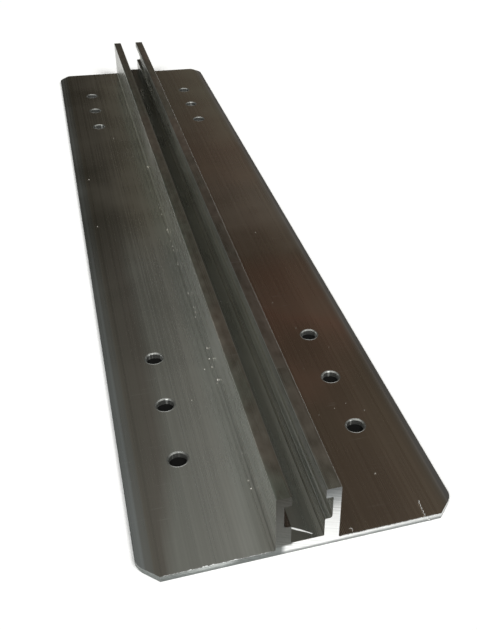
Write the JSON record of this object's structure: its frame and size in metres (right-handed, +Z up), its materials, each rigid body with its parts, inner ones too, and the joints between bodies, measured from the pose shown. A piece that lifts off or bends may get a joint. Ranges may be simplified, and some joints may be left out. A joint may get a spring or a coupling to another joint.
{
  "type": "mounting rail",
  "caption": "Extruded aluminium rail: a flat plate with a T-slot bolt channel along its middle, drilled in groups near each end for screwing it down.",
  "frame": {"origin": "middle of the flat underside", "axes": "+Y along the rail, +X across the plate, +Z up out of the channel's mouth"},
  "size_m": [0.112, 0.5, 0.0265],
  "materials": {
    "mill_aluminium": "mill finish as extruded, with fine lengthwise die lines, bright sawn ends and drilled edges"
  },
  "bodies": {
    "root": {"mounting_rail": "mill_aluminium"}
  },
  "joints": []
}
